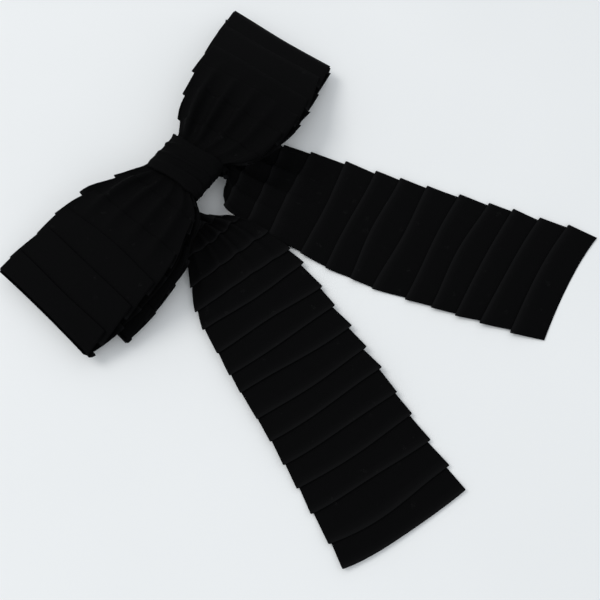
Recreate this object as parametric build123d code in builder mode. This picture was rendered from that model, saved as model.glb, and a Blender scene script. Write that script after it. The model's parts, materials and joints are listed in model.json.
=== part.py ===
"""Hair bow: two rings of pleated ribbon and two tails, sewn to an 80 mm French barrette.

Millimetres. The bow lies on its clip: the origin is under the knot's centre, on the flat underside of the
closed clasp arm. +X runs along the clip to the right-hand loop, the tails point to -Y and +Z is up.
"""

import os
from math import cos, pi, radians, sin, sqrt

from build123d import *

os.makedirs("parts", exist_ok=True)

# ---------------------------------------------------------------- driving dimensions
# ribbon
ribbon_width = 65.0
cloth = 1.2  # one layer of the pleated ribbon, folds pressed flat
layer_gap = 0.3  # left between two layers of cloth
waist_width = 31.0  # the ribbon gathered under the knot
band_width = 24.0  # knot band, along X
band_wall = 1.2

# loops: how far each end reaches from the knot, and the direction it leaves in, in degrees from +X
front_right_reach, front_right_way = 102.4, 5.5
front_left_reach, front_left_way = 100.2, 175.0
rear_right_reach, rear_right_way = 98.8, 7.1
rear_left_reach, rear_left_way = 83.6, 180.5
loop_drop = 11.5  # from the knot down to the loops' ends
drop_from, drop_to = 24.0, 100.0  # the cloth falls between these distances from the knot
rear_puff, front_puff = 1.8, 7.0  # air inside each ring
puff_share = 0.82  # of a half wave, so that a loop is still open at its end
full_width_at = 52.0  # distance from the knot where a loop has its full width
turn_room = 1.7  # a loop is this much narrower than the waist at its root, because it leaves it at an angle
ring_gap = 1.2  # between the two rings where the cloth falls most steeply
loop_stations = 12

# tails: from their pivots beside the knot, turned away from -Y
tail_pivot_x, tail_pivot_y = 13.0, -6.0
right_tail_turn, left_tail_turn = 14.0, -22.1
right_tail_length, left_tail_length = 193.0, 195.0
right_end_skew = 6.5  # the right tail's cut end is longer on its outer side by twice this
tongue_length, tongue_width = 10.0, 12.0  # the flat top end caught inside the knot band
right_neck_fall, left_neck_fall = 38.0, 44.0  # length over which a tail comes down from the knot to the table
tail_step = 2.0  # the left tail lies this much higher, over the right one
step_end, step_fall = 128.0, 37.0  # where the left tail starts down to the table, and over what length

# clip
clip_length, plate_width, plate_thickness = 80.0, 9.5, 0.8
clip_height = 9.0  # from the arm's underside to the plate's top
arm_width, arm_thickness = 5.5, 0.8
hinge_inset = 3.0  # from the plate's end to the hinge
hinge_pin_radius = 0.75
running_gap = 0.05  # radial, round a pin that turns
ear_thickness, ear_gap = 0.8, 0.25
ear_radius = 1.5
pin_head_radius, pin_head_height = 1.2, 0.5
bar_width, bar_thickness = 5.0, 0.5
bar_bow = 2.1  # the leaf spring's rise
bar_flat = 4.0  # its flat end under the rivet

# lock
lock_length, lock_wall, lock_half_width = 8.0, 0.8, 5.6
lock_flange_half_width = 3.5
lever_pin_radius = 0.5
lever_wall, lever_barrel_radius = 0.8, 1.1
lever_pin_y, lever_pin_z = 4.4, 5.0
lever_end_gap = 0.2
lever_tab = (3.2, 2.6)  # finger tab's reach out and up from the pin
hook_height, hook_bite_gap = 0.7, 0.1
tip_rise, tip_ramp = 2.2, 3.0  # the arm's tip is joggled up over the hooks
tip_clear = 0.6

# sewing
felt_width, felt_thickness = 8.5, 1.0
felt_gap = 1.0  # from the rivets' heads to the felt's ends
thread = 0.7
thread_gap = 0.2  # between a stitch and the bar below it
sewing_y = 2.2
sewing_hole_radius = 0.7
gathering_turns, gathering_pitch = 3, 0.9
gathering_gap = 0.1
rivet_radius, rivet_head_radius, rivet_head_height = 0.7, 1.2, 0.3

# ---------------------------------------------------------------- derived heights and places
plate_bottom = clip_height - plate_thickness
felt_top = clip_height + felt_thickness
band_floor = felt_top + band_wall
tongue_bottom = band_floor + layer_gap
rear_waist = tongue_bottom + cloth + layer_gap
front_waist = rear_waist + 2 * cloth + layer_gap
waist_top = front_waist + 2 * cloth
thread_room = thread + 2 * gathering_gap
band_half_height = waist_width / 2 + thread_room + band_wall
band_top = waist_top + thread_room + band_wall
hinge_eye_radius = hinge_pin_radius + running_gap + arm_thickness
hinge_x = -(clip_length / 2 - hinge_inset)
hinge_z = hinge_eye_radius
lock_end = clip_length / 2 - lock_wall
lock_start = lock_end - lock_length
bar_start = hinge_x + ear_radius + lock_wall
bar_end = lock_start - 2 * lock_wall
rivet_x = [lock_start + lock_length * share for share in (0.3, 0.7)]
bar_rivet_x = bar_start + bar_flat / 2
bow_start = bar_start + bar_flat
bow_middle, bow_half = (bow_start + bar_end) / 2, (bar_end - bow_start) / 2
outer_stitch = bow_half * sqrt(1 - (thread + thread_gap) / bar_bow)
inner_stitch = (band_width / 2 + outer_stitch) / 2
stitch_x = [bow_middle + side * x for side in (-1, 1) for x in (inner_stitch, outer_stitch)]
sewing_spots = [(x, y) for x in stitch_x for y in (-sewing_y, sewing_y)]
felt_start = bar_rivet_x + rivet_head_radius + felt_gap
felt_end = rivet_x[0] - rivet_head_radius - felt_gap


def fallen(s):
    """Share of the fall behind the cloth at distance s from the knot."""
    return min(max((s - drop_from) / (drop_to - drop_from), 0.0), 1.0)


def drop(s):
    """How far the cloth has fallen at distance s from the knot: a half cosine wave."""
    return loop_drop * (1 - cos(pi * fallen(s))) / 2


def rear_air(s):
    """Height of the gap inside the rear ring."""
    return rear_puff * sin(pi * min(max(s - band_width / 2, 0.0) / (drop_to - band_width / 2), 1.0))


def front_air(s, reach):
    """Height of the gap inside the front ring, still open at the loop's end."""
    share = max(s - band_width / 2, 0.0) / (reach - band_width / 2)
    return front_puff * sin(pi * puff_share * share)


def rear_under(s):
    return rear_waist - drop(s)


def front_under(s):
    return front_waist - drop(s) + rear_air(s) + ring_gap * sin(pi * fallen(s))


def ribbon_loop(way, reach, under, air):
    """One loop: a section of two layers and an end fold along the loop, cut to the gathered plan outline."""
    out = Vector(cos(radians(way)), sin(radians(way)), 0)
    side = Plane(origin=(0, 0, 0), x_dir=out, z_dir=out.cross(Vector(0, 0, 1)))
    top = Plane(origin=(0, 0, 0), x_dir=out, z_dir=(0, 0, 1))
    band_half = band_width / 2
    stations = [band_half + (reach - band_half) * i / loop_stations for i in range(loop_stations + 1)]
    lower = [(s, under(s)) for s in stations]
    upper = [(s, under(s) + 2 * cloth + air(s)) for s in stations]
    inner = stations[1:-1] + [reach - cloth]
    with BuildPart() as loop:
        with BuildSketch(side):
            with BuildLine():
                Polyline((0, lower[0][1]), *lower, *reversed(upper), (0, upper[0][1]), close=True)
            make_face()
            with BuildLine():
                floor = [(s, under(s) + cloth) for s in inner]
                roof = [(s, under(s) + cloth + air(s)) for s in inner]
                Polyline(*floor, *reversed(roof), close=True)
            make_face(mode=Mode.SUBTRACT)
        extrude(amount=ribbon_width, both=True)
        with BuildSketch(top):
            with BuildLine():
                edge = [
                    (0, waist_width / 2 - turn_room),
                    (band_half + 2 * turn_room, waist_width / 2 - turn_room),
                    (full_width_at, ribbon_width / 2 - cloth),
                    (reach, ribbon_width / 2),
                ]
                Polyline(*edge, *[(x, -y) for x, y in reversed(edge)], close=True)
            make_face()
        extrude(amount=2 * clip_height + 2 * front_waist, both=True, mode=Mode.INTERSECT)
    return loop.part


def ribbon_ring(label, loops):
    """Two loops joined through the gathered waist."""
    with BuildPart() as ring:
        for loop in loops:
            add(loop)
    ring.part.label = label
    export_step(ring.part, f"parts/{label}.step")


ribbon_ring(
    "rear_loops",
    [
        ribbon_loop(rear_right_way, rear_right_reach, rear_under, rear_air),
        ribbon_loop(rear_left_way, rear_left_reach, rear_under, rear_air),
    ],
)
ribbon_ring(
    "front_loops",
    [
        ribbon_loop(way, reach, front_under, lambda s, reach=reach: front_air(s, reach))
        for way, reach in ((front_right_way, front_right_reach), (front_left_way, front_left_reach))
    ],
)

# ---------------------------------------------------------------- knot band: a closed strip round both waists
with BuildPart() as knot_band:
    with BuildSketch(Plane.YZ.offset(-band_width / 2)):
        with Locations((0, (felt_top + band_top) / 2)):
            RectangleRounded(2 * band_half_height, band_top - felt_top, thread + band_wall)
            RectangleRounded(
                2 * (band_half_height - band_wall),
                band_top - felt_top - 2 * band_wall,
                thread,
                mode=Mode.SUBTRACT,
            )
    extrude(amount=band_width)
knot_band.part.label = "knot_band"
export_step(knot_band.part, "parts/knot_band.step")


# ---------------------------------------------------------------- tails
def ribbon_tail(label, side, turn, length, skew, neck_fall, lift, fan):
    """A tail: a side view of its fall to the table, cut to its plan outline, plus the tongue in the knot band.

    side is 1 for the right tail and -1 for the left; fan lists the outline's half widths beside the knot.
    """
    pivot = (side * tail_pivot_x, tail_pivot_y, 0)
    across = Vector(cos(radians(turn)), sin(radians(turn)), 0)
    along = Vector(sin(radians(turn)), -cos(radians(turn)), 0)
    run = length + skew
    fall = [
        (-tongue_width / 2, tongue_bottom),
        (neck_fall * 0.1, tongue_bottom),
        (neck_fall * 0.32, 0.75 * tongue_bottom + lift * 0.6),
        (neck_fall * 0.63, 0.3 * tongue_bottom + lift),
        (neck_fall, lift),
    ]
    if lift:
        fall += [(step_end, lift), (step_end + step_fall, 0)]
    fall.append((run + cloth, 0))
    half = ribbon_width / 2
    outline = [(side * u, -v) for u, v in fan["outer"]]
    outline += [(side * half, -(length + skew)), (-side * half, -(length - skew))]
    outline += [(-side * u, -v) for u, v in reversed(fan["inner"])]
    with BuildPart() as tail:
        with BuildSketch(Plane(origin=pivot, x_dir=along, z_dir=along.cross(Vector(0, 0, 1)))):
            with BuildLine():
                Polyline(*fall, *[(v, z + cloth) for v, z in reversed(fall)], close=True)
            make_face()
        extrude(amount=ribbon_width, both=True)
        with BuildSketch(Plane(origin=pivot, x_dir=across, z_dir=(0, 0, 1))):
            with BuildLine():
                Polyline(*outline, close=True)
            make_face()
        extrude(amount=2 * tongue_bottom, both=True, mode=Mode.INTERSECT)
        with BuildSketch(Plane.XY.offset(tongue_bottom)):
            with Locations((side * (tail_pivot_x + 2 * layer_gap - tongue_length / 2), tail_pivot_y / 2)):
                Rectangle(tongue_length + 4 * layer_gap, tongue_width)
        extrude(amount=cloth)
    tail.part.label = label
    export_step(tail.part, f"parts/{label}.step")


half_neck = tongue_width / 2
right_fan = {
    "outer": [(1.5, -half_neck), (8.0, -half_neck), (10.0, 4.0), (22.0, 18.0), (27.0, 27.0), (28.5, 60.0)],
    "inner": [(-1.5, 13.5), (13.0, 14.5), (22.0, 21.0), (30.0, 55.0)],
}
left_fan = {
    "outer": [(1.5, -half_neck), (8.0, -half_neck), (10.0, 4.0), (16.0, 28.0), (24.0, 55.0), (26.0, 100.0)],
    "inner": [(-1.5, 13.5), (9.0, 14.5), (19.0, 20.0), (32.5, 53.0)],
}
right_sizes = (right_tail_turn, right_tail_length, right_end_skew, right_neck_fall)
left_sizes = (left_tail_turn, left_tail_length, 0.0, left_neck_fall)
ribbon_tail("right_tail", 1, *right_sizes, 0.0, right_fan)
ribbon_tail("left_tail", -1, *left_sizes, tail_step, left_fan)

# ---------------------------------------------------------------- base plate with its two hinge ears
with BuildPart() as base_plate:
    with BuildSketch(Plane.XY.offset(plate_bottom)):
        SlotOverall(clip_length, plate_width)
        with Locations(*sewing_spots):
            Circle(sewing_hole_radius, mode=Mode.SUBTRACT)
        with Locations(*[(x, 0) for x in (*rivet_x, bar_rivet_x)]):
            Circle(rivet_radius, mode=Mode.SUBTRACT)
    extrude(amount=plate_thickness)
    with BuildSketch(Plane.XZ.offset(arm_width / 2 + ear_gap)):
        with Locations((hinge_x, (hinge_z + clip_height) / 2)):
            Rectangle(2 * ear_radius, clip_height - hinge_z)
        with Locations((hinge_x, hinge_z)):
            Circle(ear_radius)
            Circle(hinge_pin_radius, mode=Mode.SUBTRACT)
    extrude(amount=ear_thickness)
    with BuildSketch(Plane.XZ.offset(-(arm_width / 2 + ear_gap))):
        with Locations((hinge_x, (hinge_z + clip_height) / 2)):
            Rectangle(2 * ear_radius, clip_height - hinge_z)
        with Locations((hinge_x, hinge_z)):
            Circle(ear_radius)
            Circle(hinge_pin_radius, mode=Mode.SUBTRACT)
    extrude(amount=-ear_thickness)
base_plate.part.label = "base_plate"
export_step(base_plate.part, "parts/base_plate.step")

# ---------------------------------------------------------------- clasp arm: eye, flat strip, joggled tip
tip_start = lock_start
tip_end = lock_end - lock_wall - lever_end_gap
with BuildPart() as clasp_arm:
    with BuildSketch(Plane.XZ):
        with BuildLine():
            Polyline(
                (hinge_x, 0),
                (tip_start - tip_ramp, 0),
                (tip_start, tip_rise),
                (tip_end, tip_rise),
                (tip_end, tip_rise + arm_thickness),
                (tip_start - arm_thickness / 2, tip_rise + arm_thickness),
                (tip_start - tip_ramp - arm_thickness / 2, arm_thickness),
                (hinge_x, arm_thickness),
                close=True,
            )
        make_face()
        with Locations((hinge_x, hinge_z)):
            Circle(hinge_eye_radius)
            Circle(hinge_pin_radius + running_gap, mode=Mode.SUBTRACT)
    extrude(amount=arm_width / 2, both=True)
    fillet(clasp_arm.edges().filter_by(Axis.Z).sort_by(Axis.X)[-2:], arm_width / 4)
clasp_arm.part.label = "clasp_arm"
export_step(clasp_arm.part, "parts/clasp_arm.step")

# ---------------------------------------------------------------- hinge pin with two heads
head_inner = arm_width / 2 + ear_gap + ear_thickness
with BuildPart() as hinge_pin:
    with BuildSketch(Plane.XZ):
        with Locations((hinge_x, hinge_z)):
            Circle(hinge_pin_radius)
    extrude(amount=head_inner, both=True)
    for start, height in ((head_inner, pin_head_height), (-head_inner, -pin_head_height)):
        with BuildSketch(Plane.XZ.offset(start)):
            with Locations((hinge_x, hinge_z)):
                Circle(pin_head_radius)
        extrude(amount=height)
hinge_pin.part.label = "hinge_pin"
export_step(hinge_pin.part, "parts/hinge_pin.step")

# ---------------------------------------------------------------- tension bar: bowed leaf spring
with BuildPart() as tension_bar:
    with BuildSketch(Plane.XZ):
        with BuildLine():
            Line((bar_end, plate_bottom), (bar_end, plate_bottom - bar_thickness))
            ThreePointArc(
                (bar_end, plate_bottom - bar_thickness),
                (bow_middle, plate_bottom - bar_thickness - bar_bow),
                (bow_start, plate_bottom - bar_thickness),
            )
            Polyline(
                (bow_start, plate_bottom - bar_thickness),
                (bar_start, plate_bottom - bar_thickness),
                (bar_start, plate_bottom),
                (bow_start, plate_bottom),
            )
            ThreePointArc(
                (bow_start, plate_bottom),
                (bow_middle, plate_bottom - bar_bow),
                (bar_end, plate_bottom),
            )
        make_face()
    extrude(amount=bar_width / 2, both=True)
    with BuildSketch(Plane.XY.offset(plate_bottom)):
        with Locations((bar_rivet_x, 0)):
            Circle(rivet_radius)
    extrude(amount=-2 * bar_thickness, mode=Mode.SUBTRACT)
tension_bar.part.label = "tension_bar"
export_step(tension_bar.part, "parts/tension_bar.step")


# ---------------------------------------------------------------- rivets
def rivets(label, places, held):
    """Rivets through the plate and a piece of thickness held under it, with a head at each end."""
    low, high = plate_bottom - held, clip_height
    with BuildPart() as group:
        for x in places:
            with BuildSketch(Plane.XY.offset(low)):
                with Locations((x, 0)):
                    Circle(rivet_radius)
            extrude(amount=high - low)
            for start, height in ((low, -rivet_head_height), (high, rivet_head_height)):
                with BuildSketch(Plane.XY.offset(start)):
                    with Locations((x, 0)):
                        Circle(rivet_head_radius)
                extrude(amount=height)
    group.part.label = label
    export_step(group.part, f"parts/{label}.step")


rivets("bar_rivet", [bar_rivet_x], bar_thickness)
rivets("lock_rivets", rivet_x, lock_wall)

# ---------------------------------------------------------------- lock frame: flange and two end walls
wall_foot = tip_rise + arm_thickness + tip_clear
with BuildPart() as lock_frame:
    with BuildSketch(Plane.XY.offset(plate_bottom - lock_wall)):
        with Locations(((lock_start + lock_end) / 2, 0)):
            Rectangle(lock_length, 2 * lock_flange_half_width)
        with Locations(*[(x, 0) for x in rivet_x]):
            Circle(rivet_radius, mode=Mode.SUBTRACT)
    extrude(amount=lock_wall)
    for wall_start in (lock_start, lock_end - lock_wall):
        with BuildSketch(Plane.YZ.offset(wall_start)):
            with Locations((0, (wall_foot + plate_bottom) / 2)):
                Rectangle(2 * lock_half_width, plate_bottom - wall_foot)
            with Locations((-lever_pin_y, lever_pin_z), (lever_pin_y, lever_pin_z)):
                Circle(lever_pin_radius, mode=Mode.SUBTRACT)
        extrude(amount=lock_wall)
lock_frame.part.label = "lock_frame"
export_step(lock_frame.part, "parts/lock_frame.step")

# ---------------------------------------------------------------- lever pins, one on each side
with BuildPart() as lever_pins:
    with BuildSketch(Plane.YZ.offset(lock_start)):
        with Locations((-lever_pin_y, lever_pin_z), (lever_pin_y, lever_pin_z)):
            Circle(lever_pin_radius)
    extrude(amount=lock_length)
lever_pins.part.label = "lever_pins"
export_step(lever_pins.part, "parts/lever_pins.step")


# ---------------------------------------------------------------- release levers: barrel, finger tab and hook
def release_lever(label, side):
    """A lever on one side: its tab leans out, and its hook reaches in under the arm's tip."""
    hook_y = arm_width / 2 + hook_bite_gap
    hook_top = tip_rise - hook_bite_gap
    hook_bottom = hook_top - hook_height
    leg_y = lever_pin_y - lever_wall / 2
    tab_y, tab_z = lever_pin_y + lever_tab[0], lever_pin_z + lever_tab[1]
    length = lock_length - 2 * lock_wall - 2 * lever_end_gap
    with BuildPart() as lever:
        with BuildSketch(Plane.YZ.offset(lock_start + lock_wall + lever_end_gap)):
            with BuildLine():
                Polyline(
                    (side * leg_y, lever_pin_z),
                    (side * leg_y, hook_top),
                    (side * hook_y, hook_top),
                    (side * hook_y, hook_bottom),
                    (side * (leg_y + lever_wall), hook_bottom),
                    (side * (leg_y + lever_wall), lever_pin_z),
                    close=True,
                )
            make_face()
            with BuildLine():
                Polyline(
                    (side * lever_pin_y, lever_pin_z),
                    (side * tab_y, tab_z),
                    (side * (tab_y + lever_wall / 2), tab_z - lever_wall),
                    (side * (lever_pin_y + lever_wall), lever_pin_z - lever_wall / 2),
                    close=True,
                )
            make_face()
            with Locations((side * lever_pin_y, lever_pin_z)):
                Circle(lever_barrel_radius)
                Circle(lever_pin_radius + running_gap, mode=Mode.SUBTRACT)
        extrude(amount=length)
    lever.part.label = label
    export_step(lever.part, f"parts/{label}.step")


release_lever("release_lever_upper", 1)
release_lever("release_lever_lower", -1)

# ---------------------------------------------------------------- felt pad on the plate
with BuildPart() as felt_pad:
    with BuildSketch(Plane.XY.offset(clip_height)):
        with Locations(((felt_start + felt_end) / 2, 0)):
            SlotOverall(felt_end - felt_start, felt_width)
        with Locations(*sewing_spots):
            Circle(sewing_hole_radius, mode=Mode.SUBTRACT)
    extrude(amount=felt_thickness)
felt_pad.part.label = "felt_pad"
export_step(felt_pad.part, "parts/felt_pad.step")

# ---------------------------------------------------------------- stitches through the plate and the felt
with BuildPart() as plate_stitches:
    for x in stitch_x:
        with BuildSketch(Plane.YZ.offset(x - thread / 2)):
            with Locations((0, (plate_bottom + felt_top) / 2)):
                RectangleRounded(2 * sewing_y + thread, felt_top - plate_bottom + 2 * thread, thread)
                Rectangle(2 * sewing_y - thread, felt_top - plate_bottom, mode=Mode.SUBTRACT)
        extrude(amount=thread)
plate_stitches.part.label = "plate_stitches"
export_step(plate_stitches.part, "parts/plate_stitches.step")

# ---------------------------------------------------------------- gathering thread round both waists
inner_width = waist_width + 2 * gathering_gap
inner_height = waist_top - rear_waist + 2 * gathering_gap
with BuildPart() as gathering_thread:
    for turn in range(gathering_turns):
        x = (turn - (gathering_turns - 1) / 2) * gathering_pitch
        with BuildSketch(Plane.YZ.offset(x - thread / 2)):
            with Locations((0, (waist_top + rear_waist) / 2)):
                RectangleRounded(inner_width + 2 * thread, inner_height + 2 * thread, thread)
                Rectangle(inner_width, inner_height, mode=Mode.SUBTRACT)
        extrude(amount=thread)
gathering_thread.part.label = "gathering_thread"
export_step(gathering_thread.part, "parts/gathering_thread.step")
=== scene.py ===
"""Looks of a pleated ribbon hair bow on a French barrette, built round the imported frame.

Metres, with +X along the clip, the tails to -Y and +Z up. The ribbon is four strips of knife-pleated
crepe: two closed rings of loops and two tails. Each strip is one grid: its pleats are a folded side
view, carried along the strip's own surface.
"""

import json

import bmesh
import bpy
import numpy as np
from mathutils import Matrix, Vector


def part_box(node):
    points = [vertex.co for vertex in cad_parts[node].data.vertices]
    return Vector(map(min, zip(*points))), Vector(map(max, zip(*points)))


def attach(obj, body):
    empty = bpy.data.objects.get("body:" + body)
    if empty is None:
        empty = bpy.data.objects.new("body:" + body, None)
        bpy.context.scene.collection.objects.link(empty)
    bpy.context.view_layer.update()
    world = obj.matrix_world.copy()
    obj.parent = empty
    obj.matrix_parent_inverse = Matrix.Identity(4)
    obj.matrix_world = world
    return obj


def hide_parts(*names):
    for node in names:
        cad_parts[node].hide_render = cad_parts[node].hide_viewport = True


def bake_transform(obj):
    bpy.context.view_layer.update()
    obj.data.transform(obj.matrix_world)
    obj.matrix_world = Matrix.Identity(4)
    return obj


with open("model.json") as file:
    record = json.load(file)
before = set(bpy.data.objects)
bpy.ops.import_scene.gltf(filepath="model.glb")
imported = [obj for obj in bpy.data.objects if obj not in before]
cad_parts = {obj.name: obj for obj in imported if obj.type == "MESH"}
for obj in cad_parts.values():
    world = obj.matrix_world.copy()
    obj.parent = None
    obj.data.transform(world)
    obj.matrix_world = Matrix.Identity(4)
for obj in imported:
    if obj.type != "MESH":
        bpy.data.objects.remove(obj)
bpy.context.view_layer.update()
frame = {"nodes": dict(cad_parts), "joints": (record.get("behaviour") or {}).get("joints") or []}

MM = 0.001

# ---------------------------------------------------------------- sizes, in millimetres
RIBBON_WIDTH = 65.0
CLOTH = 0.22  # one layer of crepe
LAYER = 0.42  # from one folded layer to the next
UNDERLAP = 6.0  # how far each pleat is folded back under the one before
COLUMNS = 56  # quads across a strip
BOW_LAYER = 1.2  # the room one pleated layer takes
LOOP_PITCH, RIGHT_TAIL_PITCH, LEFT_TAIL_PITCH = 16.0, 14.6, 12.6

joints = {joint["name"]: joint for joint in frame["joints"]}


def node_box(name):
    """Lowest and highest corner of a CAD node, in millimetres."""
    low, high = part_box(name)
    return np.array(low) / MM, np.array(high) / MM


band_low, band_high = node_box("knot_band")
BAND_HALF = band_high[0]
TONGUE = node_box("left_tail")[1][2] - BOW_LAYER  # underside of the tails inside the knot
REAR_WAIST = TONGUE + 1.5
FRONT_WAIST = REAR_WAIST + 2 * BOW_LAYER + 0.3


# ---------------------------------------------------------------- small shape helpers
def ease(x):
    """Smooth step from 0 to 1 as x goes from 0 to 1: 3x^2 - 2x^3."""
    x = np.clip(x, 0.0, 1.0)
    return x * x * (3 - 2 * x)


def spline(points, at):
    """Catmull-Rom curve through the points; at runs from 0 to the number of points less one."""
    points = np.asarray(points, float)
    padded = np.vstack([2 * points[0] - points[1], points, 2 * points[-1] - points[-2]])
    first = np.clip(np.floor(at).astype(int), 0, len(points) - 2)
    t = (at - first)[..., None]
    before, start, end, after = (padded[first + shift] for shift in range(4))
    bend = 2 * before - 5 * start + 4 * end - after
    return start + 0.5 * t * ((end - before) + t * (bend + t * (3 * start - before - 3 * end + after)))


def grid_piece(name, points, loop_rows=False, uv=None, marks=None):
    """A mesh object from an (n, m, 3) array of points in millimetres; loop_rows joins last row to first."""
    rows, columns = points.shape[:2]
    index = np.arange(rows * columns).reshape(rows, columns)
    if loop_rows:
        index = np.vstack([index, index[:1]])
    quads = np.stack([index[:-1, :-1], index[1:, :-1], index[1:, 1:], index[:-1, 1:]], axis=-1).reshape(-1, 4)
    mesh = bpy.data.meshes.new(name)
    mesh.from_pydata((points.reshape(-1, 3) * MM).tolist(), [], quads.tolist())
    if uv is not None:
        layer = mesh.uv_layers.new(name="cloth")
        corners = np.zeros(len(mesh.loops), np.int32)
        mesh.loops.foreach_get("vertex_index", corners)
        layer.data.foreach_set("uv", (uv.reshape(-1, 2)[corners] * MM).astype(np.float32).ravel())
    # The crease attribute carries the share of painted highlight along the pleats' fold edges.
    if marks is not None:
        crease = mesh.attributes.new("crease", "FLOAT", "POINT")
        crease.data.foreach_set("value", marks.astype(np.float32).ravel())
    mesh.polygons.foreach_set("use_smooth", np.ones(len(mesh.polygons), bool))
    piece = bpy.data.objects.new(name, mesh)
    bpy.context.scene.collection.objects.link(piece)
    return piece


def thicken(piece, wall):
    """Gives a surface its wall, half on each side."""
    modifier = piece.modifiers.new("wall", "SOLIDIFY")
    modifier.thickness = wall * MM
    modifier.offset = 0.0
    return piece


# ---------------------------------------------------------------- pleats
FOLD_SHIFT = 0.16  # greatest random shift of a fold, as a share of the pitch
FOLD_SKEW, FOLD_BOW = 0.012, 0.45  # spread of the folds' tilt, and of their waviness
CURL_START, CURL_OVER = 0.72, 0.28  # shares of the half width: where a panel starts to curl, over how much
FLUTTER = 0.11  # unevenness of a panel's face


def fold_lines(length, pitch, rng):
    """Distances of the fold edges along a strip: equal steps, each shifted at random by up to a sixth."""
    count = max(int(round(length / pitch)), 2)
    step = length / count
    places = np.arange(count + 1) * step
    places[1:-1] += rng.uniform(-FOLD_SHIFT, FOLD_SHIFT, count - 1) * step
    return places


def pleat_rows(folds):
    """Side view of knife pleats, as rows of points in order along the folded cloth.

    Each pleat is a visible panel that rises to its fold edge, a half circle over, a return layer
    underneath it, and a half circle under into the next panel. Every layer lies LAYER below the one above
    it and tilts the same way. Returns distance along, height, and the row's place in its pleat.
    """
    start, end = folds[:-1, None], folds[1:, None]
    tilt = 2 * LAYER / np.diff(folds).mean() * UNDERLAP
    foot = -2 * LAYER - tilt
    panel = np.array([0.0, 0.14, 0.3, 0.46, 0.62, 0.78, 0.91, 1.0])
    turn = np.radians([45.0, 90.0, 135.0])
    back = np.array([0.0, 0.5, 1.0])
    root = start - UNDERLAP * (np.arange(len(start)) > 0)[:, None]
    along = np.hstack(
        [
            root + (end - root) * panel,
            end + LAYER / 2 * np.sin(turn),
            end - UNDERLAP * back,
            end - UNDERLAP - LAYER / 2 * np.sin(turn),
        ]
    )
    height = np.hstack(
        [
            foot * (1 - panel),
            -LAYER / 2 + LAYER / 2 * np.cos(turn),
            -LAYER - tilt * back,
            -1.5 * LAYER - tilt + LAYER / 2 * np.cos(turn),
        ]
    )
    height = np.broadcast_to(height, along.shape)
    place = np.broadcast_to(np.arange(along.shape[1])[None], along.shape)
    return along, height, place


PANEL_ROWS, TURN_ROWS, BACK_ROWS = 8, 3, 3


def pleated_strip(name, surface, length, pitch, seed, flare=1.5, lift=1.0, flip=False, hem=True):
    """A strip of knife pleats laid on surface(along, across), which gives points in millimetres.

    across runs from -1 to 1. Each panel is a shallow trapezium: its two ends stand out by up to flare at
    the fold edge, and its corners curl up by up to lift. flip turns the pleats to face the strip's start.
    """
    rng = np.random.default_rng(seed)
    folds = fold_lines(length, pitch, rng)
    along, height, place = pleat_rows(folds)
    count = len(folds) - 1
    across = np.linspace(-1, 1, COLUMNS + 1)
    steps = np.diff(folds)[:, None]
    seen = (along - folds[:-1, None]) / steps  # 0 where a panel comes out from under the last, 1 at its fold
    turned = np.clip((place - PANEL_ROWS + 1) / (TURN_ROWS + BACK_ROWS), 0, 1)

    def edge_stand(amounts):
        """Stand-out of one edge: from -half to +half along a panel, then back to the next panel's root."""
        panel = amounts[:count, None] * (seen - 0.5)
        next_root = amounts[1:, None] * (-0.5 - UNDERLAP / steps)
        folded = amounts[:count, None] * 0.5 * (1 - turned) + next_root * turned
        return np.where(place < PANEL_ROWS, panel, folded)

    stand = [edge_stand(flare * rng.uniform(0.25, 1.5, count + 1)) for side in range(2)]
    curl = [lift * rng.uniform(0.1, 1.0, count)[:, None] * np.ones_like(along) for side in range(2)]
    rise = np.where(place < PANEL_ROWS, np.clip(seen, 0, 1) ** 2, 1 - turned)
    skews = rng.normal(0, FOLD_SKEW, count + 1)
    bows = rng.normal(0, FOLD_BOW, (2, count + 1))
    panel_share = np.clip((along - folds[:-1, None] + UNDERLAP) / (steps + UNDERLAP), 0, 1)
    share = np.where(place < PANEL_ROWS, panel_share, 1.0)
    waves = rng.uniform(0, 2 * np.pi, (2, count))

    def between(values):
        """A value given at each fold, carried from fold to fold along the panels."""
        return values[:count, None] * (1 - share) + values[1:, None] * share

    rows = slice(None, None if hem else -(TURN_ROWS + BACK_ROWS))
    last = TURN_ROWS

    def column(field):
        return field.reshape(-1)[:-last, None][rows]

    w = across[None, :]
    x = column(along) + RIBBON_WIDTH / 2 * w * column(between(skews))
    x = x + column(between(bows[0])) * np.sin(2.2 * w) + column(between(bows[1])) * np.cos(3.1 * w)
    near_edge = np.clip((np.abs(w) - CURL_START) / CURL_OVER, 0, 1) ** 2
    side = (w > 0) * 1.0
    stood = column(stand[0]) * (1 - side) + column(stand[1]) * side
    curled = column(curl[0]) * (1 - side) + column(curl[1]) * side
    swell = np.sin(np.pi * np.clip(column(seen), 0, 1)) * (column(place) < PANEL_ROWS)
    flutter = np.sin(4.1 * w + column(waves[0][:, None] * np.ones_like(along)))
    flutter = flutter + 0.7 * np.sin(9.3 * w + column(waves[1][:, None] * np.ones_like(along)))
    level = column(height) + 1.4 * LAYER + near_edge * curled * column(rise) + FLUTTER * swell * flutter
    if flip:
        x = length - x
    wide = w * (1 + stood / (RIBBON_WIDTH / 2))
    points = laid(surface, x, wide, level)
    run = np.hypot(np.diff(column(along)[:, 0]), np.diff(column(height)[:, 0]))
    unfolded = np.concatenate([[0], np.cumsum(run)])
    uv = np.stack(np.broadcast_arrays(unfolded[:, None], w * RIBBON_WIDTH / 2), axis=-1)
    # Painted highlight: a share near each fold edge, stored as the crease attribute, that the cloth material
    # paints paler.
    fold_highlight_share = np.where(place < PANEL_ROWS, np.clip(seen, 0, 1) ** 10, 1 - turned)
    marks = np.broadcast_to(column(fold_highlight_share), points.shape[:2])
    if flip:
        points, uv, marks = points[::-1], uv[::-1], marks[::-1]
    piece = thicken(grid_piece(name, points, uv=uv, marks=marks), CLOTH)
    return piece, unfolded[-1]


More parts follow.
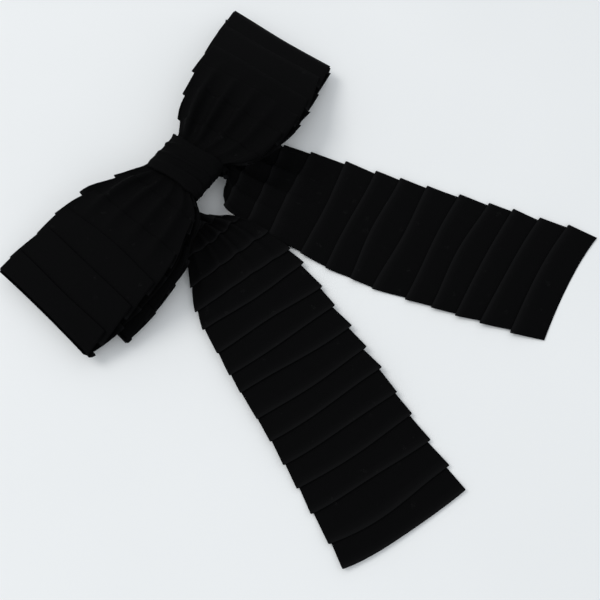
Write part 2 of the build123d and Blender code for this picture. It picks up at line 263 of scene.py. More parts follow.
def laid(surface, along, across, level):
    """surface(along, across) moved by level along its normal, the cross product of central differences."""
    along, across = np.broadcast_arrays(along, across)
    step, slim = 0.4, 0.01
    ahead = surface(along + step, across) - surface(along - step, across)
    beside = surface(along, across + slim) - surface(along, across - slim)
    normal = np.cross(ahead, beside)
    normal = normal / np.maximum(np.linalg.norm(normal, axis=-1, keepdims=True), 1e-9)
    return surface(along, across) + level[..., None] * normal


# ---------------------------------------------------------------- loops
LOOP_DROP, DROP_FROM, DROP_TO = 11.5, 24.0, 100.0
REAR_PUFF, FRONT_PUFF, PUFF_SHARE, RING_GAP = 1.8, 7.0, 0.82, 1.2
FULL_HALF, WAIST_HALF, SPREAD_OVER = 33.3, 14.6, 15.5
BAND_CLOTH = 0.3  # thickness of the knot's cloth
KNOT_SAG = 2.3  # the waist and the band sit this much towards the tails
GATHER_FOLDS, GATHER_HEIGHT, GATHER_END = 5.0, 1.3, 62.0
CENTRE_LINE = {1: 6.0, -1: -2.2}  # middle of the loops on each side, in degrees
END_HOLLOW = {1: 1.5, -1: 0.7}  # how far the middle of a loop's end stands in
EAR, EAR_OVER = {1: 0.004, -1: -0.02}, 6.0  # share by which a loop widens at its end, and over what length
LEAN_SHAPE = {1: 0.5, -1: 0.66}  # lower puts a loop's greatest lean nearer the knot
END_SLIP = 0.8  # how far a loop's end sits towards the tails
SAG_OVER = 20.0  # the waist's sag is gone this far out from the band
SIDE_TUCK, NECK_TUCK, NECK_TUCK_AT, NECK_TUCK_OVER = 0.022, 0.05, 27.0, 10.0  # the left loops' narrowing
EDGE_TUCK, EDGE_TUCK_AT, EDGE_TUCK_OVER = 0.04, 30.0, 9.0  # more of it, on their edge beside the tail


def loop_half(r):
    """Half width of a loop at distance r from the knot: waist, then an exponential approach to full width."""
    past_band = np.clip(r - BAND_HALF + 1, 0, None)
    return WAIST_HALF + (FULL_HALF - WAIST_HALF) * (1 - np.exp(-past_band / SPREAD_OVER))


def drop(r):
    """How far the loops have fallen at distance r: a half cosine wave."""
    return LOOP_DROP * (1 - np.cos(np.pi * np.clip((r - DROP_FROM) / (DROP_TO - DROP_FROM), 0, 1))) / 2


def rear_air(r):
    """Height of the gap inside the rear loops: half a sine wave."""
    return REAR_PUFF * np.sin(np.pi * np.clip((r - BAND_HALF) / (DROP_TO - BAND_HALF), 0, 1))


def front_air(r, reach):
    """Height of the gap inside the front loops: the first part of a half sine wave, still open at the end."""
    return FRONT_PUFF * np.sin(np.pi * PUFF_SHARE * np.clip((r - BAND_HALF) / (reach - BAND_HALF), 0, 1.02))


def rear_under(r):
    return REAR_WAIST - drop(r)


def front_under(r):
    fallen = np.clip((r - DROP_FROM) / (DROP_TO - DROP_FROM), 0, 1)
    return FRONT_WAIST - drop(r) + rear_air(r) + RING_GAP * np.sin(np.pi * fallen)


def gather(x, y):
    """Folds that radiate from the knot, the same for every layer: a sharpened cosine across the loop's width,
    small inside the band, highest just outside it, and gone at GATHER_END."""
    r = np.abs(x)
    middle = r * np.tan(np.radians(np.where(x > 0, CENTRE_LINE[1], -CENTRE_LINE[-1])))
    share = (y - middle) / loop_half(r)
    phase = np.pi * GATHER_FOLDS * share + np.where(x > 0, 0.6, -0.9)
    fold = np.cos(phase + 0.5 * np.sin(phase)) * (0.8 + 0.3 * np.sin(2.3 * share + x / 30))
    swell = 0.22 + 0.78 * ease((r - BAND_HALF + 2) / 8)
    return GATHER_HEIGHT * fold * swell * (1 - ease((r - 20) / (GATHER_END - 20)))


def ring_path(under, airs, reaches, fold_depth):
    """Side view of a ring: out under the right loop, round its end, over the top to the left end and back.

    Returns the arc length, distance from the knot, height and share of the upper layer along the path.
    """
    start = 3.0
    half_turn = np.linspace(0, np.pi, 25)[1:-1]

    def layers(side):
        reach, air = reaches[side], airs[side]
        r = np.linspace(0, reach - fold_depth, 160)
        low = under(r) + BOW_LAYER / 2
        high = low + BOW_LAYER + air(r)
        tip = reach - fold_depth + fold_depth * np.sin(half_turn)
        turn = (low[-1] + high[-1]) / 2 - (high[-1] - low[-1]) / 2 * np.cos(half_turn)
        return r, low, high, tip, turn

    r1, low1, high1, tip1, turn1 = layers(1)
    r2, low2, high2, tip2, turn2 = layers(-1)
    out = r1 >= start
    home = r2 >= start
    r = np.concatenate([r1[out], tip1, r1[::-1], -r2[1:], -tip2, -r2[home][::-1]])
    z = np.concatenate([low1[out], turn1, high1[::-1], high2[1:], turn2[::-1], low2[home][::-1]])
    turned = ease(half_turn / np.pi)
    upper = np.concatenate([0 * r1[out], turned, 1 + 0 * r1, 1 + 0 * r2[1:], turned[::-1], 0 * r2[home]])
    arc = np.concatenate([[0], np.cumsum(np.hypot(np.diff(r), np.diff(z)))])
    return arc, r, z, upper


def ring_surface(path, turns, end_skews, reaches, leans, crown, top_gather):
    """The plan and height of a ring of loops, by distance along its path and share of its width.

    turns are the loops' directions, end_skews how far the ends lean and leans how far the loops bow
    towards the tails, right (1) and left (-1).
    """
    arc, path_r, path_z, path_upper = path

    def surface(along, across):
        r = np.interp(along, arc, path_r)
        z = np.interp(along, arc, path_z)
        upper = np.interp(along, arc, path_upper)
        far = np.abs(r)
        right = ease((r + BAND_HALF) / (2 * BAND_HALF))
        turn = np.radians(turns[-1] * (1 - right) + turns[1] * right)
        reach = np.where(r > 0, reaches[1], reaches[-1])
        skew = np.where(r > 0, end_skews[1], end_skews[-1]) * across * far / reach
        hollow = np.where(r > 0, END_HOLLOW[1], END_HOLLOW[-1]) * (far / reach) ** 4 * (1 - across**2)
        r_here = r + np.sign(r) * (skew - hollow)
        part = np.clip((far - BAND_HALF + 1) / (reach - BAND_HALF + 1), 0, 1)
        lean = np.where(r > 0, leans[1], leans[-1])
        ear = 1 + np.where(r > 0, EAR[1], EAR[-1]) * np.exp(-(((reach - far) / EAR_OVER) ** 2))
        bowed = lean * np.sin(np.pi * part ** np.where(r > 0, LEAN_SHAPE[1], LEAN_SHAPE[-1]))
        slip = bowed + KNOT_SAG * (1 - ease((far - BAND_HALF) / SAG_OVER))
        neck = NECK_TUCK * np.exp(-(((far - NECK_TUCK_AT) / NECK_TUCK_OVER) ** 2))
        narrow = 1 - np.where(r > 0, 0.0, SIDE_TUCK * np.sin(np.pi * part) + neck)
        beside = np.exp(-(((far - EDGE_TUCK_AT) / EDGE_TUCK_OVER) ** 2)) * across**2
        narrow = narrow - np.where((r < 0) & (across < 0), EDGE_TUCK, 0.0) * beside
        t = across * loop_half(far) * ear * narrow - slip - END_SLIP * part
        x = r_here * np.cos(turn) - t * np.sin(turn)
        y = r_here * np.sin(turn) + t * np.cos(turn)
        free = ease((far - BAND_HALF) / 30) * upper
        z = z + gather(x, y) * (1 + top_gather * free)
        z = z - crown * free * across**2
        return np.stack([x, y, z], axis=-1)

    return surface


front_reach = {1: 101.0, -1: 99.7}
rear_reach = {1: 98.8, -1: 83.6}
front_airs = {side: (lambda r, reach=front_reach[side]: front_air(r, reach)) for side in (1, -1)}
front_path = ring_path(front_under, front_airs, front_reach, 1.8)
rear_path = ring_path(rear_under, {1: rear_air, -1: rear_air}, rear_reach, 0.9)
front_surface = ring_surface(
    front_path,
    turns={1: 5.5, -1: -5.0},
    end_skews={1: 4.4, -1: -2.2},
    reaches=front_reach,
    leans={1: 9.6, -1: 7.4},
    crown=1.6,
    top_gather=1.0,
)
rear_surface = ring_surface(
    rear_path,
    turns={1: 7.1, -1: 0.5},
    end_skews={1: 4.0, -1: -5.5},
    reaches=rear_reach,
    leans={1: 8.8, -1: 6.0},
    crown=0.0,
    top_gather=0.0,
)
front_loops, front_length = pleated_strip(
    "front_loops_cloth", front_surface, front_path[0][-1], LOOP_PITCH, seed=11, flare=2.1, lift=1.2, hem=False
)
rear_loops, rear_length = pleated_strip(
    "rear_loops_cloth", rear_surface, rear_path[0][-1], LOOP_PITCH, seed=23, flare=1.3, lift=0.3, hem=False
)

# ---------------------------------------------------------------- tails
RIGHT_TURN, LEFT_TURN = 14.0, -22.1
RIGHT_FALL, LEFT_FALL = 37.0, 43.0
LEFT_LIFT, LIFT_END, LIFT_FALL = 2.0, 128.0, 37.0
# plan of each tail from its pivot: along the cloth, then (outward, along) for its inner and its outer edge
RIGHT_PLAN = [
    (-12, (-8.0, 0.0), (-6.0, -9.0)),
    (-4, (-6.0, 3.0), (2.0, -8.0)),
    (3, (-8.6, 9.6), (8.5, -4.2)),
    (9, (-6.4, 14.4), (12.5, 4.0)),
    (16, (-15.8, 15.2), (19.2, 12.0)),
    (24, (-22.6, 21.0), (24.4, 21.0)),
    (38, (-25.2, 35.0), (27.0, 37.0)),
    (58, (-28.8, 56.0), (27.8, 58.0)),
    (84, (-33.4, 81.0), (28.4, 85.5)),
    (108, (-35.2, 104.0), (28.8, 111.0)),
    (134, (-35.2, 129.5), (30.4, 139.0)),
    (162, (-34.6, 156.0), (31.4, 168.5)),
    (193, (-33.6, 188.0), (32.0, 199.6)),
]
LEFT_PLAN = [
    (-12, (-8.0, 0.0), (-6.0, -9.0)),
    (-4, (-1.0, 2.6), (1.5, -8.0)),
    (3, (-2.4, 9.4), (7.5, -4.6)),
    (9, (-5.0, 15.4), (10.2, 5.0)),
    (16, (-11.2, 20.6), (11.2, 16.0)),
    (25, (-18.6, 24.6), (12.2, 28.0)),
    (38, (-26.8, 35.0), (17.2, 41.0)),
    (58, (-33.0, 55.5), (23.6, 59.0)),
    (84, (-34.1, 83.0), (26.0, 85.0)),
    (108, (-34.1, 108.0), (26.9, 108.5)),
    (134, (-33.6, 134.5), (27.7, 134.0)),
    (162, (-33.0, 163.0), (29.1, 161.5)),
    (195, (-32.5, 196.0), (31.0, 194.2)),
]
NECK_FOLDS, NECK_HEIGHT, NECK_END = 4.5, 1.9, 96.0
TABLE_GAP = 0.18  # keeps the lowest layer of a tail off the table


def tail_surface(side, turn, plan, fall, lift, bulge):
    """The plan and height of a tail: rows between the two edges of its plan, which are smooth curves, and
    whose middle comes to stand out by bulge, or in if it is negative, towards the tail's end.

    It falls from the knot to the table in a smooth step, in folds that radiate from the knot: a sharpened
    cosine across the width, gone at NECK_END.
    """
    pivot = np.array(joints["right_tail_swing" if side > 0 else "left_tail_swing"]["pos_m"]) / MM
    angle = np.radians(turn)
    outward = side * np.array([np.cos(angle), np.sin(angle)])
    away = np.array([np.sin(angle), -np.cos(angle)])
    stations = np.array([row[0] for row in plan], float)
    inner = [row[1] for row in plan]
    outer = [row[2] for row in plan]

    def surface(along, across):
        at = np.interp(along, stations, np.arange(len(plan)))
        past = (along - stations[-1]).clip(0) + (along - stations[0]).clip(None, 0)
        share = ((side * across + 1) / 2)[..., None]
        flat = spline(inner, at) * (1 - share) + spline(outer, at) * share
        swing = bulge * (1 - across**2) * (1 + 0.5 * side * across)
        v = flat[..., 1] + past + swing * (along / stations[-1]).clip(0) ** 4
        plain = pivot[:2] + flat[..., :1] * outward + v[..., None] * away
        height = TONGUE + (lift - TONGUE) * ease(v / fall) + BOW_LAYER / 2
        height = height + TABLE_GAP * ease(v / fall)
        if lift:
            height = height - lift * ease((v - LIFT_END) / LIFT_FALL)
        phase = np.pi * NECK_FOLDS * across * side + (1.1 if side > 0 else 2.5)
        fold = np.cos(phase + 0.55 * np.sin(phase)) * (0.75 + 0.35 * np.sin(2.7 * across + 0.4))
        strength = ease((along + 6) / 16) * (1 - ease((along - 12) / (NECK_END - 12))) ** 1.9
        height = height + NECK_HEIGHT * strength * (fold + 0.15 + 0.85 * ease((along - 10) / 30))
        slack = ease((along - 20) / 30) * (0.35 + 0.35 * np.sin(along / 19 + 1.7 * across + side))
        return np.concatenate([plain, (height + slack)[..., None]], axis=-1)

    return surface


right_surface = tail_surface(1, RIGHT_TURN, RIGHT_PLAN, RIGHT_FALL, 0.0, bulge=-2.4)
left_surface = tail_surface(-1, LEFT_TURN, LEFT_PLAN, LEFT_FALL, LEFT_LIFT, bulge=2.4)
ROOT = 8.0  # how far a tail runs back into the knot


def from_root(surface):
    """The same surface, measured from the end inside the knot."""
    return lambda along, across: surface(along - ROOT, across)


right_tail, right_length = pleated_strip(
    "right_tail_cloth",
    from_root(right_surface),
    RIGHT_PLAN[-1][0] + ROOT,
    RIGHT_TAIL_PITCH,
    seed=5,
    flip=True,
    lift=0.6,
)
left_tail, left_length = pleated_strip(
    "left_tail_cloth", from_root(left_surface), LEFT_PLAN[-1][0] + ROOT, LEFT_TAIL_PITCH, seed=8, lift=0.6
)


# ---------------------------------------------------------------- knot band
BAND_SLIM = 1.2  # the cloth stands this much inside its solid at each side
SQUARENESS = 3.4  # exponent of the superellipses round the waist
FACE_SHARE, TURNED_SHARE = 0.8, 0.2  # shares of the strip that show, and that are turned under


def knot_band_points(rows=168, columns=72):
    """A closed band round the waist, as a grid of turns round it by places across it.

    Round it goes a superellipse in Y and Z with a crowned top. Across it goes a strip whose edges are
    turned under, creased by folds that run with the wrap: a sharpened cosine that wanders a little.
    """
    turn = np.linspace(0, 2 * np.pi, rows, endpoint=False)[:, None]
    share = np.linspace(-1, 1, columns)[None, :]
    half_y, half_z = band_high[1] - BAND_SLIM, (band_high[2] - band_low[2]) / 2
    middle = (band_high[2] + band_low[2]) / 2
    square = 2 / SQUARENESS
    cos, sin = np.cos(turn), np.sin(turn)
    y_round = np.sign(cos) * np.abs(cos) ** square
    z_round = np.sign(sin) * np.abs(sin) ** square
    folded = np.clip((np.abs(share) - FACE_SHARE) / TURNED_SHARE, 0, 1)  # 0 on the face, 1 at the raw edge
    wide = BAND_HALF - 0.35 + 0.35 * np.sin(3 * turn + 1.2) + 0.25 * np.sin(7 * turn)
    lip = np.sin(np.pi * folded.clip(0, 0.5)) * 0.55
    under = wide - 0.55 + lip - 3.2 * (folded - 0.5).clip(0)
    x = np.sign(share) * np.where(folded > 0, under, np.abs(share) / FACE_SHARE * (wide - 0.55))
    depth = 0.55 * (1 - np.cos(np.pi * folded.clip(0, 0.6) / 0.6))
    on_top = ease((sin + 0.2) / 1.0)
    phase = 2 * np.pi * (share * 2.2 + 0.2 * np.sin(turn * 2 + 0.5) + 0.16 * share * np.cos(turn * 3))
    crease = 0.5 - 0.5 * np.cos(phase + 0.7 * np.sin(phase))
    crease = crease * (0.6 + 0.4 * np.sin(turn + 4 * share)) * (1 - folded) ** 0.5
    inward = depth + (0.4 + 0.85 * on_top) * crease
    crown = 1.1 * on_top * (1 - y_round**2) * (1 - 0.45 * (x / BAND_HALF) ** 2)
    y = y_round * (half_y - inward) - KNOT_SAG
    z = middle + z_round * (half_z - inward) + crown
    x = x * (1 - 0.035 * on_top * (1 - y_round**2))
    y = y + 0 * x
    uv = np.stack(np.broadcast_arrays(turn * 16.0, share * 20.0), axis=-1)
    return np.stack(np.broadcast_arrays(x, y, z), axis=-1), uv


band_points, band_uv = knot_band_points()
band_skin = grid_piece("knot_band_cloth", band_points[:, ::-1], loop_rows=True, uv=band_uv[:, ::-1])
knot_band = thicken(band_skin, BAND_CLOTH)


# ---------------------------------------------------------------- gathering thread
def tube(name, path, radius, sides=8):
    """A round strand: a circle carried along the path, square to it, drawn in to a point at both ends."""
    ahead = np.gradient(path, axis=0)
    ahead /= np.linalg.norm(ahead, axis=1, keepdims=True)
    first = np.cross(ahead, (1.0, 0.0, 0.0))
    first /= np.linalg.norm(first, axis=1, keepdims=True)
    second = np.cross(ahead, first)
    round_it = np.linspace(0, 2 * np.pi, sides, endpoint=False)[None, :, None]
    ends = np.ones(len(path))
    ends[[0, -1]] = 0.02
    ring = np.cos(round_it) * first[:, None] + np.sin(round_it) * second[:, None]
    points = path[:, None] + radius * ends[:, None, None] * ring
    return grid_piece(name, points.transpose(1, 0, 2), loop_rows=True)


def gathering_turns(count=3, pitch=0.9, radius=0.32, steps=240):
    """The thread that gathers the waist: turns side by side round a superellipse in Y and Z."""
    turn = np.linspace(0, 2 * np.pi * count, steps)
    low, high = node_box("gathering_thread")
    half_z = (high[2] - low[2]) / 2 - radius
    square = 2 / SQUARENESS
    x = pitch * (turn / (2 * np.pi) - count / 2)
    y = np.sign(np.cos(turn)) * np.abs(np.cos(turn)) ** square * (WAIST_HALF + 0.9) - KNOT_SAG
    z = (low[2] + high[2]) / 2 + np.sign(np.sin(turn)) * np.abs(np.sin(turn)) ** square * half_z
    return tube("gathering_turns", np.stack([x, y, z], axis=-1), radius)


gathering = gathering_turns()


# ---------------------------------------------------------------- felt pad
def felt_slab(name, low, high, columns=160):
    """A strip of felt: a rectangle with round corners, carried from the middle of its underside over its
    rounded edge to the middle of its top, with a low nap of two crossed sine waves."""
    middle, half = (low + high) / 2, (high - low) / 2
    around = np.linspace(0, 2 * np.pi, columns, endpoint=False)[None, :]
    inset = np.array([0, 0.3, 0.6, 0.85, 0.94, 0.985, 1, 1, 0.985, 0.94, 0.85, 0.6, 0.3, 0])[:, None]
    rise = np.array([-1, -1, -1, -1, -0.97, -0.8, -0.4, 0.4, 0.8, 0.97, 1, 1, 1, 1])[:, None]
    corner = half[1] * 0.35
    cos, sin = np.cos(around), np.sin(around)
    x = np.clip(cos * 1.9, -1, 1) * (half[0] - corner) + corner * cos
    y = np.clip(sin * 1.9, -1, 1) * (half[1] - corner) + corner * sin
    nap = 0.05 * np.sin(7 * around + 3 * rise) * np.sin(23 * around + 5 * inset)
    x = middle[0] + x * inset
    y = middle[1] + y * inset * (1 + nap * 0.4)
    z = middle[2] + half[2] * rise
    points = np.stack(np.broadcast_arrays(x, y, z), axis=-1)
    slab = grid_piece(name, np.concatenate([points, points[:, :1]], axis=1))
    mesh = bmesh.new()
    mesh.from_mesh(slab.data)
    bmesh.ops.remove_doubles(mesh, verts=mesh.verts, dist=0.01 * MM)
    bmesh.ops.recalc_face_normals(mesh, faces=mesh.faces)
    mesh.to_mesh(slab.data)
    mesh.free()
    return slab


felt = felt_slab("felt_pad_cloth", *node_box("felt_pad"))


# ---------------------------------------------------------------- shader groups
def sockets(name, inputs, outputs):
    """A new shader node group with named sockets: (name, kind, value) in, (name, kind) out."""
    tree = bpy.data.node_groups.new(name, "ShaderNodeTree")
    for label, kind, value in inputs:
        made = tree.interface.new_socket(name=label, in_out="INPUT", socket_type="NodeSocket" + kind)
        if value is not None:
            made.default_value = value
    for label, kind in outputs:
        tree.interface.new_socket(name=label, in_out="OUTPUT", socket_type="NodeSocket" + kind)
    return tree, tree.nodes.new("NodeGroupInput"), tree.nodes.new("NodeGroupOutput")


def node(tree, kind, settings=None, **values):
    """A node with its settings, and its inputs set or linked by name (spaces as _)."""
    made = tree.nodes.new("ShaderNode" + kind)
    for key, value in (settings or {}).items():
        setattr(made, key, value)
    for key, value in values.items():
        at = int(key[1:]) if key[0] == "i" and key[1:].isdigit() else key.replace("_", " ")
        if isinstance(value, bpy.types.NodeSocket):
            tree.links.new(value, made.inputs[at])
        else:
            made.inputs[at].default_value = value
    return made


def math(tree, operation, first, second=0.0, clamp=False):
    return node(tree, "Math", {"operation": operation, "use_clamp": clamp}, i0=first, i1=second).outputs[0]


def scaled(tree, vector, by):
    return node(tree, "VectorMath", {"operation": "MULTIPLY"}, i0=vector, i1=by).outputs[0]


def ramp(tree, value, low, high, to_low=0.0, to_high=1.0):
    smooth = {"interpolation_type": "SMOOTHSTEP"}
    return node(tree, "MapRange", smooth, i0=value, i1=low, i2=high, i3=to_low, i4=to_high).outputs[0]


def crepe_weave():
    """Crepe: two sets of fine threads, crossed and crinkled by noise. Gives its height and its tone."""
    tree, given, out = sockets(
        "crepe weave",
        [("Vector", "Vector", None), ("Threads per metre", "Float", 2600.0), ("Crinkle", "Float", 0.5)],
        [("Height", "Float"), ("Tone", "Float")],
    )
    where = given.outputs["Vector"]
    fineness = given.outputs["Threads per metre"]
    spread = node(tree, "VectorMath", {"operation": "SCALE"}, i0=where, Scale=fineness).outputs[0]
    crinkle = node(tree, "TexNoise", Vector=spread, Scale=0.12, Detail=3.0, Roughness=0.6).outputs[0]
    bands = []
    for direction in ("X", "Y"):
        wave = node(
            tree,
            "TexWave",
            {"bands_direction": direction, "wave_profile": "SIN"},
            Vector=spread,
            Scale=0.16,
            Distortion=1.4,
            Detail=1.0,
            Detail_Scale=0.7,
        )
        bands.append(wave.outputs["Fac"])
    threads = math(tree, "MAXIMUM", *bands)
    mixed = node(tree, "Mix", i0=given.outputs["Crinkle"], i2=threads, i3=crinkle).outputs[0]
    tree.links.new(mixed, out.inputs["Height"])
    tree.links.new(ramp(tree, mixed, 0.2, 0.9), out.inputs["Tone"])
    return tree


def stray_lint():
    """Sparse short fibres: thin ridges of stretched noise, kept only in a few spots."""
    tree, given, out = sockets(
        "stray lint", [("Vector", "Vector", None), ("Amount", "Float", 0.3)], [("Mask", "Float")]
    )
    where = given.outputs["Vector"]
    stretched = scaled(tree, where, (700.0, 2400.0, 700.0))
    fibres = node(tree, "TexNoise", Vector=stretched, Scale=1.0, Detail=2.0, Distortion=1.8)
    spots = node(tree, "TexNoise", Vector=where, Scale=160.0, Detail=2.0)
    ridge = math(tree, "ABSOLUTE", math(tree, "SUBTRACT", fibres.outputs[0], 0.5))
    thin = ramp(tree, ridge, 0.004, 0.012, 1.0, 0.0)
    few = ramp(tree, spots.outputs[0], 0.66, 0.72)
    mask = math(tree, "MULTIPLY", math(tree, "MULTIPLY", thin, few), given.outputs["Amount"])
    tree.links.new(mask, out.inputs["Mask"])
    return tree


def drawing_lines():
    """Marks of rolled and polished strip: long thin lines of stretched noise, and smudges from handling."""
    tree, given, out = sockets(
        "drawing lines",
        [("Vector", "Vector", None), ("Lines per metre", "Float", 3500.0)],
        [("Lines", "Float"), ("Smudge", "Float")],
    )
    where = given.outputs["Vector"]
    stretched = scaled(tree, where, (0.025, 1.0, 1.0))
    fineness = given.outputs["Lines per metre"]
    lines = node(tree, "TexNoise", Vector=stretched, Scale=fineness, Detail=3.0, Roughness=0.7)
    smudge = node(tree, "TexNoise", Vector=where, Scale=130.0, Detail=4.0, Roughness=0.55)
    tree.links.new(lines.outputs[0], out.inputs["Lines"])
    tree.links.new(ramp(tree, smudge.outputs[0], 0.42, 0.64), out.inputs["Smudge"])
    return tree


weave_group, lint_group, lines_group = crepe_weave(), stray_lint(), drawing_lines()


def placed(tree, group, **values):
    """A group node in a material, with its inputs set or linked."""
    made = tree.nodes.new("ShaderNodeGroup")
    made.node_tree = group
    for key, value in values.items():
        at = key.replace("_", " ")
        if isinstance(value, bpy.types.NodeSocket):
            tree.links.new(value, made.inputs[at])
        else:
            made.inputs[at].default_value = value
    return made.outputs


def material(name):
    made = bpy.data.materials.new(name)
    made.use_nodes = True
    tree = made.node_tree
    return made, tree, tree.nodes["Principled BSDF"]


def colours(tree, share, first, second):
    mix = node(tree, "Mix", {"data_type": "RGBA"}, i0=share, i6=(*first, 1.0), i7=(*second, 1.0))
    return mix.outputs[2]


def bump(tree, height, strength, distance):
    return node(tree, "Bump", Strength=strength, Distance=distance, Height=height).outputs["Normal"]


def ribbon_cloth(name, painted_fold_highlight=True):
    """Matte black crepe: threads and crinkle by the cloth's own map, a painted highlight that makes the fold
    edges paler, a little lint.
    """
    made, tree, shader = material(name)
    where = node(tree, "UVMap", {"uv_map": "cloth"}).outputs["UV"]
    weave = placed(tree, weave_group, Vector=where, Threads_per_metre=2600.0, Crinkle=0.45)
    lint = placed(tree, lint_group, Vector=where, Amount=0.14)
    body = colours(tree, weave["Tone"], (0.0008, 0.0008, 0.0009), (0.0022, 0.0022, 0.0024))
    if painted_fold_highlight:
        # Painted highlight: the crease attribute lightens the fold edges towards a paler black.
        fold = node(tree, "Attribute", {"attribute_name": "crease"}).outputs["Fac"]
        highlight_share = math(tree, "MULTIPLY", fold, 0.5)
        highlighted = node(tree, "Mix", {"data_type": "RGBA"}, i0=highlight_share, i6=body, i7=(0.0085, 0.0085, 0.009, 1))
        body = highlighted.outputs[2]
    dusty = node(tree, "Mix", {"data_type": "RGBA"}, i0=lint["Mask"], i6=body, i7=(0.12, 0.12, 0.12, 1))
    tree.links.new(dusty.outputs[2], shader.inputs["Base Color"])
    tree.links.new(ramp(tree, weave["Tone"], 0.0, 1.0, 0.72, 0.9), shader.inputs["Roughness"])
    tree.links.new(bump(tree, weave["Height"], 0.35, 0.0001), shader.inputs["Normal"])
    shader.inputs["Specular IOR Level"].default_value = 0.038
    return made


def felt_cloth():
    """Black needled felt: tangled fibres as two sizes of noise, and lint."""
    made, tree, shader = material("felt")
    where = node(tree, "TexCoord").outputs["Object"]
    tangle = node(
        tree, "TexNoise", Vector=where, Scale=1900.0, Detail=5.0, Roughness=0.7, Distortion=1.5
    ).outputs[0]
    lumps = node(tree, "TexNoise", Vector=where, Scale=420.0, Detail=2.0).outputs[0]
    lint = placed(tree, lint_group, Vector=where, Amount=0.5)
    body = colours(tree, tangle, (0.006, 0.006, 0.007), (0.022, 0.022, 0.024))
    dusty = node(tree, "Mix", {"data_type": "RGBA"}, i0=lint["Mask"], i6=body, i7=(0.14, 0.14, 0.14, 1))
    tree.links.new(dusty.outputs[2], shader.inputs["Base Color"])
    tree.links.new(ramp(tree, tangle, 0.2, 0.8, 0.85, 0.97), shader.inputs["Roughness"])
    height = math(tree, "ADD", tangle, lumps)
    tree.links.new(bump(tree, height, 0.8, 0.0002), shader.inputs["Normal"])
    shader.inputs["Sheen Weight"].default_value = 0.15
    return made


def sewing_thread():
    """Black twisted thread: slanting bands round the strand, with fuzz."""
    made, tree, shader = material("sewing_thread")
    where = node(tree, "TexCoord").outputs["Object"]
    slanting = {"bands_direction": "DIAGONAL"}
    wave = node(tree, "TexWave", slanting, Vector=where, Scale=520.0, Distortion=0.6, Detail=1.0)
    twist = wave.outputs["Fac"]
    fuzz = node(tree, "TexNoise", Vector=where, Scale=3200.0, Detail=3.0).outputs[0]
    body = colours(tree, twist, (0.004, 0.004, 0.005), (0.03, 0.03, 0.033))
    tree.links.new(body, shader.inputs["Base Color"])
    tree.links.new(ramp(tree, fuzz, 0.3, 0.7, 0.45, 0.7), shader.inputs["Roughness"])
    tree.links.new(bump(tree, math(tree, "ADD", twist, fuzz), 0.7, 0.00015), shader.inputs["Normal"])
    return made


def satin_metal(name, dull, bright, lines_per_metre, smooth, rough, marks):
    """Plated or bright strip: drawing lines in colour, roughness and height, and duller smudges."""
    made, tree, shader = material(name)
    where = node(tree, "TexCoord").outputs["Object"]
    drawn = placed(tree, lines_group, Vector=where, Lines_per_metre=lines_per_metre)
    line_colour = colours(tree, drawn["Lines"], dull, bright)
    smudge = math(tree, "MULTIPLY", drawn["Smudge"], 0.35)
    smudged = node(tree, "Mix", {"data_type": "RGBA"}, i0=smudge, i6=line_colour)
    smudged.inputs[7].default_value = (*(0.75 * part for part in dull), 1.0)
    tree.links.new(smudged.outputs[2], shader.inputs["Base Color"])
    gloss = ramp(tree, drawn["Lines"], 0.3, 0.7, smooth, rough)
    dulled = math(tree, "ADD", gloss, math(tree, "MULTIPLY", drawn["Smudge"], 0.12))
    tree.links.new(dulled, shader.inputs["Roughness"])
    tree.links.new(bump(tree, drawn["Lines"], marks, 0.00005), shader.inputs["Normal"])
    shader.inputs["Metallic"].default_value = 1.0
    return made


crepe = ribbon_cloth("pleated_crepe")
knot_crepe = ribbon_cloth("knot_crepe", painted_fold_highlight=False)
felted = felt_cloth()
threaded = sewing_thread()
nickel = satin_metal("nickel_plate", (0.50, 0.49, 0.47), (0.66, 0.65, 0.63), 3200.0, 0.2, 0.34, 0.25)
bright_nickel = satin_metal("pin_nickel", (0.56, 0.55, 0.53), (0.70, 0.69, 0.67), 5200.0, 0.16, 0.26, 0.15)
spring = satin_metal("spring_strip", (0.36, 0.37, 0.39), (0.52, 0.53, 0.55), 4200.0, 0.26, 0.42, 0.35)


# ---------------------------------------------------------------- what each piece is, and what the bow's pieces ride on
def dress(piece, finish):
    piece.data.materials.clear()
    piece.data.materials.append(finish)


def soft_piece(piece, finish, body, cad_node):
    dress(piece, finish)
    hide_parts(cad_node)
    if body:
        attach(piece, body)


soft_piece(front_loops, crepe, "bow", "front_loops")
soft_piece(rear_loops, crepe, "bow", "rear_loops")
soft_piece(knot_band, knot_crepe, "bow", "knot_band")
soft_piece(felt, felted, "bow", "felt_pad")
soft_piece(gathering, threaded, "bow", "gathering_thread")
soft_piece(right_tail, crepe, None, "right_tail")
soft_piece(left_tail, crepe, None, "left_tail")

for piece, body, turn in ((right_tail, "right_tail", RIGHT_TURN), (left_tail, "left_tail", LEFT_TURN)):
    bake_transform(piece)

finishes = {
    "base_plate": nickel,
    "clasp_arm": spring,
    "hinge_pin": bright_nickel,
    "tension_bar": spring,
    "bar_rivet": bright_nickel,
    "lock_rivets": bright_nickel,
    "lock_frame": nickel,
    "lever_pins": bright_nickel,
    "release_lever_upper": nickel,
    "release_lever_lower": nickel,
    "plate_stitches": threaded,
}
for name, finish in finishes.items():
    dress(frame["nodes"][name], finish)


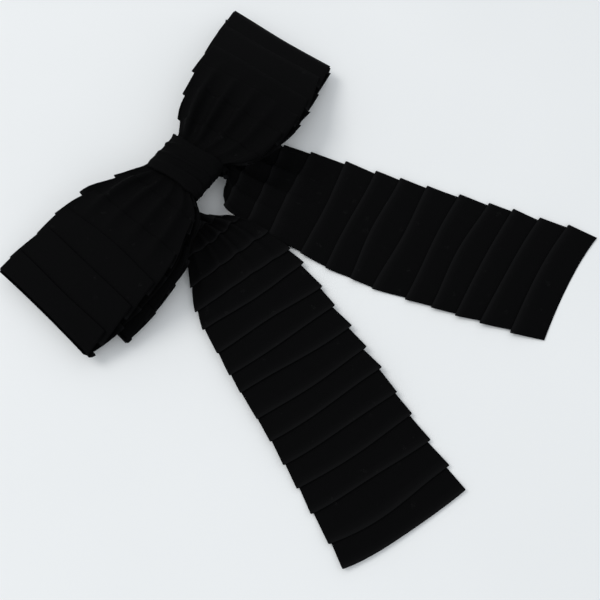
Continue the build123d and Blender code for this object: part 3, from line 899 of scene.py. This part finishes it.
# ---------------------------------------------------------------- table, light and camera
def table_top():
    """A pale table, seen through from below."""
    made, tree, shader = material("pale_table")
    where = node(tree, "TexCoord").outputs["Object"]
    cloudy = node(tree, "TexNoise", Vector=where, Scale=9.0, Detail=2.0).outputs[0]
    laminate = colours(tree, cloudy, (0.80, 0.812, 0.815), (0.84, 0.85, 0.853))
    tree.links.new(laminate, shader.inputs["Base Color"])
    shader.inputs["Roughness"].default_value = 0.6
    shader.inputs["Specular IOR Level"].default_value = 0.2
    clear = node(tree, "BsdfTransparent")
    under = node(tree, "NewGeometry").outputs["Backfacing"]
    both = node(tree, "MixShader", i0=under, i1=shader.outputs[0], i2=clear.outputs[0])
    tree.links.new(both.outputs[0], tree.nodes["Material Output"].inputs["Surface"])
    mesh = bpy.data.meshes.new("table")
    half = 20.0
    corners = [(-half, -half, 0), (half, -half, 0), (half, half, 0), (-half, half, 0)]
    mesh.from_pydata(corners, [], [(0, 1, 2, 3)])
    top = bpy.data.objects.new("table", mesh)
    top.data.materials.append(made)
    bpy.context.scene.collection.objects.link(top)
    return top


def area_light(name, place, aim, size, power, colour):
    light = bpy.data.lights.new(name, "AREA")
    light.size, light.energy, light.color = size, power, colour
    lamp = bpy.data.objects.new(name, light)
    bpy.context.scene.collection.objects.link(lamp)
    lamp.location = place
    lamp.rotation_euler = (Vector(aim) - Vector(place)).to_track_quat("-Z", "Y").to_euler()
    return lamp


table_top()
AIM = (0.0, -0.06, 0.0)
area_light("window", (-0.4, 1.7, 2.1), AIM, 1.3, 26.0, (1.0, 0.985, 0.96))
area_light("fill", (-1.6, -1.5, 2.2), AIM, 2.4, 17.0, (0.95, 0.98, 1.0))
world = bpy.data.worlds.new("room")
bpy.context.scene.world = world
world.use_nodes = True
world.node_tree.nodes["Background"].inputs["Color"].default_value = (0.93, 0.965, 1.0, 1.0)
world.node_tree.nodes["Background"].inputs["Strength"].default_value = 0.7
bpy.context.scene.view_settings.view_transform = "Standard"

VIEW_CENTRE = Vector((-0.02173, -0.08769, 0.0))
VIEW_DISTANCE, VIEW_HEIGHT, VIEW_TURN = 0.4114, np.radians(66.0), np.radians(-55.465)
camera = bpy.data.objects.new("camera", bpy.data.cameras.new("camera"))
bpy.context.scene.collection.objects.link(camera)
bpy.context.scene.camera = camera
camera.data.lens = 50.5
back = Vector(
    (np.sin(VIEW_TURN) * np.cos(VIEW_HEIGHT), -np.cos(VIEW_TURN) * np.cos(VIEW_HEIGHT), np.sin(VIEW_HEIGHT))
)
camera.location = VIEW_CENTRE + back * VIEW_DISTANCE
camera.rotation_euler = (-back).to_track_quat("-Z", "Y").to_euler()
camera.data.clip_start = 0.01
